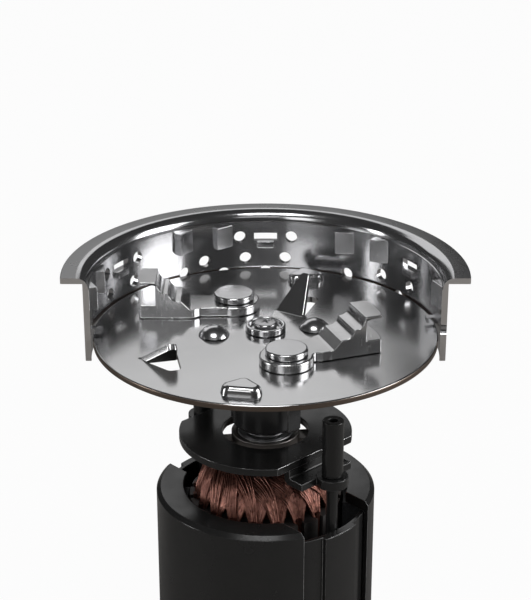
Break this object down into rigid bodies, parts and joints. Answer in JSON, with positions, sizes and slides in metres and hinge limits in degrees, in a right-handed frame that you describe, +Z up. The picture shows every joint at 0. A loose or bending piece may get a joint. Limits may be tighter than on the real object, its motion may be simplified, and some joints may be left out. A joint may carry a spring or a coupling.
{
  "type": "food waste disposer grinding mechanism",
  "caption": "Cutaway disposer drive: turntable with swivel lugs inside a slotted shredder ring, on a hub, bridge bracket and brushed magnet motor.",
  "frame": {"origin": "centre of the motor's flat base, on the shaft's axis", "axes": "+Z up along the shaft; +Y away from the side where the shredder ring is cut open; +X to the right seen from that side"},
  "size_m": [0.1544, 0.1432, 0.1687],
  "materials": {
    "ring_steel": "stainless steel, bright rolled, faintly brushed along the wall",
    "table_steel": "stainless steel, polished, with fine scuffs",
    "lug_steel": "stainless steel casting, polished by tumbling",
    "rivet_steel": "stainless steel, polished",
    "screw_steel": "zinc-plated steel",
    "hub_black": "black oxide on cast iron, satin",
    "black_enamel": "black baked enamel, half gloss",
    "post_black": "black enamel, half gloss",
    "ground_steel": "ground steel",
    "lamination_iron": "stacked electrical steel, dull",
    "enamelled_copper": "copper wire under clear red-brown enamel",
    "commutator_copper": "copper bars, run in",
    "ferrite": "sintered ferrite, dull grey-black",
    "resin_board": "paper-based resin board",
    "carbon": "pressed carbon",
    "brass": "stamped brass",
    "zinc": "zinc die casting, satin"
  },
  "bodies": {
    "motor_frame": {"grind_ring": "ring_steel", "housing_shell": "black_enamel", "field_can": "black_enamel", "magnet_right": "ferrite", "magnet_left": "ferrite", "base_cap": "black_enamel", "top_bracket": "black_enamel", "bearing_spider": "zinc", "spider_screw_right": "ground_steel", "spider_screw_left": "ground_steel", "upper_bearing_outer_race": "ground_steel", "lower_bearing_outer_race": "ground_steel", "standoff_post_front": "post_black", "standoff_post_rear": "post_black", "tie_rod_front": "ground_steel", "tie_rod_rear": "ground_steel", "brush_card": "resin_board", "carbon_brush_left": "carbon", "carbon_brush_right": "carbon", "brush_holder_left": "brass", "brush_holder_right": "brass", "brush_spring_left": "ground_steel", "brush_spring_right": "ground_steel", "terminal_left": "brass", "terminal_right": "brass"},
    "rotor": {"turntable": "table_steel", "clamp_washer": "rivet_steel", "clamp_screw": "screw_steel", "turntable_hub": "hub_black", "rotor_shaft": "ground_steel", "armature_core": "lamination_iron", "armature_winding": "enamelled_copper", "winding_insulator_top": "resin_board", "winding_insulator_bottom": "resin_board", "commutator": "commutator_copper", "upper_bearing_inner_race": "ground_steel", "lower_bearing_inner_race": "ground_steel", "oil_slinger": "ground_steel", "lug_pin_front": "rivet_steel", "lug_pin_rear": "rivet_steel", "stop_rivet_left": "rivet_steel", "stop_rivet_right": "rivet_steel"},
    "front_lug": {"lug_front": "lug_steel"},
    "rear_lug": {"lug_rear": "lug_steel"}
  },
  "joints": [
    {"name": "rotor_spin", "type": "hinge", "parent": "motor_frame", "child": "rotor", "pos_m": [0, 0, 0.144], "axis": [0, 0, 1], "continuous": true},
    {"name": "front_lug_swivel", "type": "hinge", "parent": "rotor", "child": "front_lug", "pos_m": [0.0077, -0.0307, 0.144], "axis": [0, 0, 1], "range_deg": [-38, 18]},
    {"name": "rear_lug_swivel", "type": "hinge", "parent": "rotor", "child": "rear_lug", "pos_m": [-0.0124, 0.0227, 0.144], "axis": [0, 0, 1], "range_deg": [-35, 34]}
  ]
}
